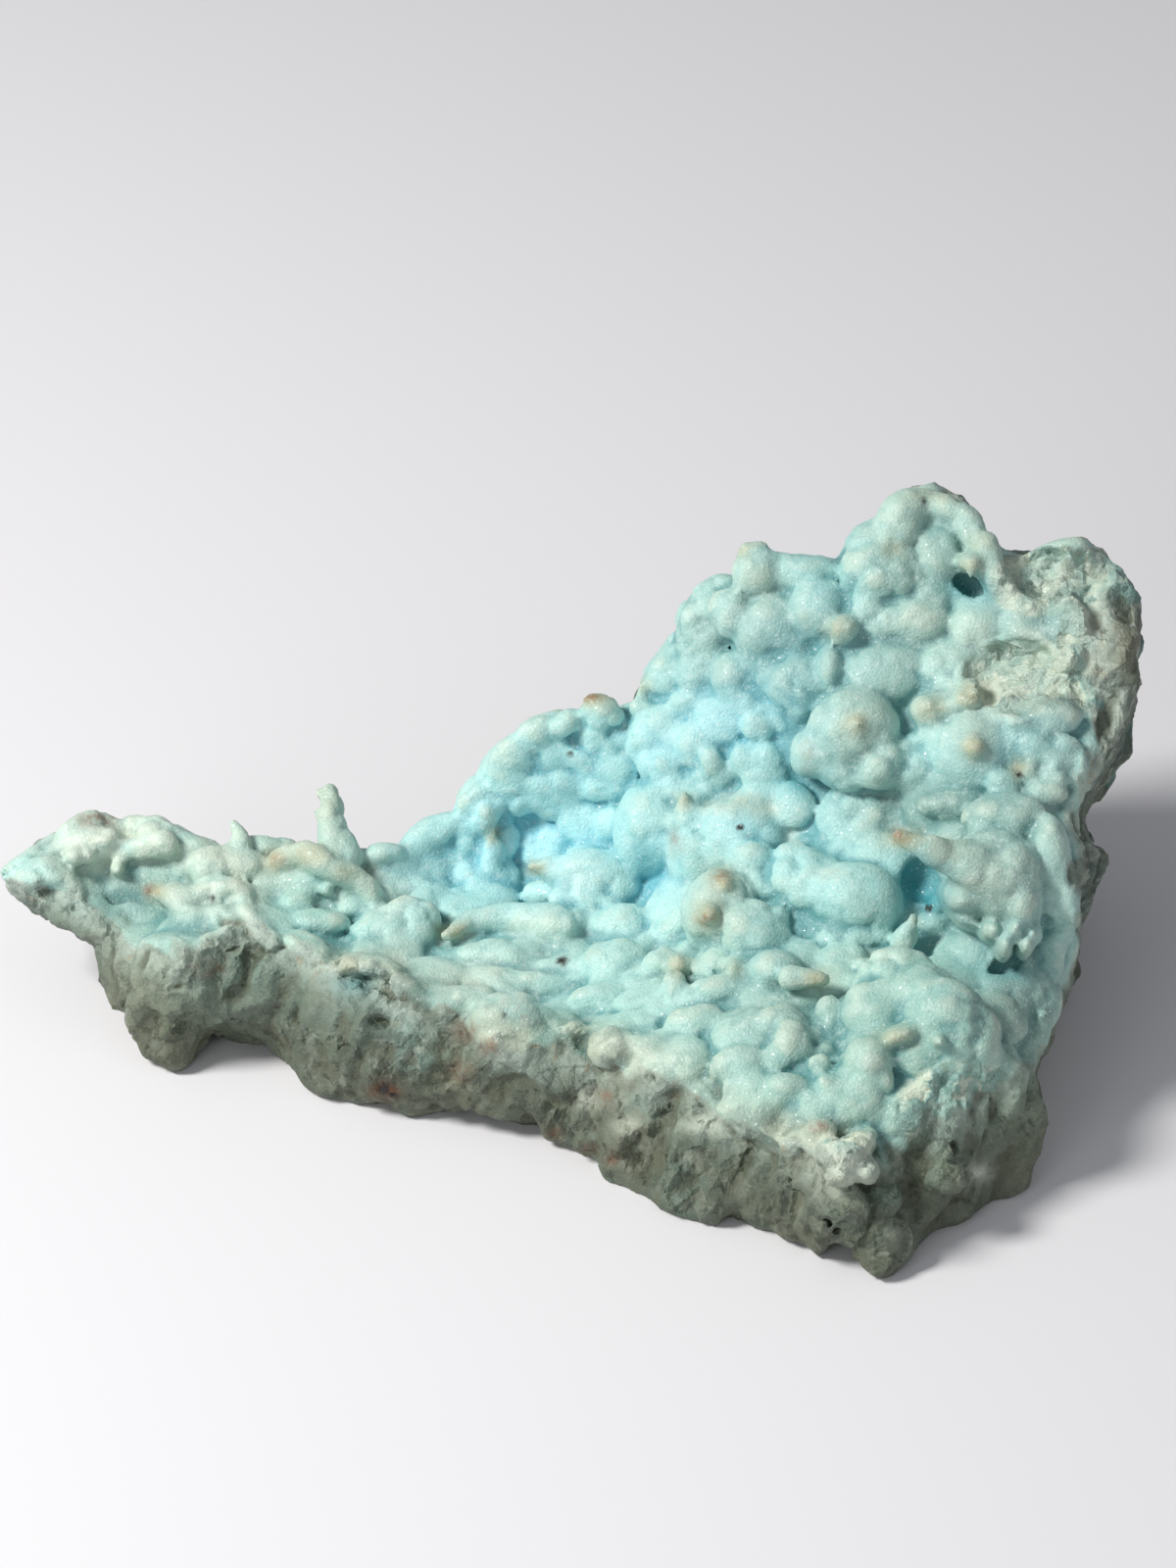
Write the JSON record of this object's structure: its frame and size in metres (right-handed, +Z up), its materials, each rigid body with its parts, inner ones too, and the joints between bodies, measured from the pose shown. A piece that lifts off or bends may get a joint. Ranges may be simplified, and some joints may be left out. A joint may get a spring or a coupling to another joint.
{
  "type": "blue aragonite specimen",
  "caption": "Knobbly pale blue aragonite crust with spikes and rounded knobs on a broken grey-green mass, rising to a mound at one end and resting on a flat cut base",
  "frame": {"origin": "on the surface that the stone rests on, under the middle of its bounding box", "axes": "X along the stone, from the tip of the low left wing to the mound at the right; Y from the broken front edge to the broken back; Z up"},
  "size_m": [0.1833, 0.1173, 0.0791],
  "materials": {
    "aragonite": "satin"
  },
  "bodies": {
    "root": {"blue_aragonite": "aragonite"}
  },
  "joints": []
}
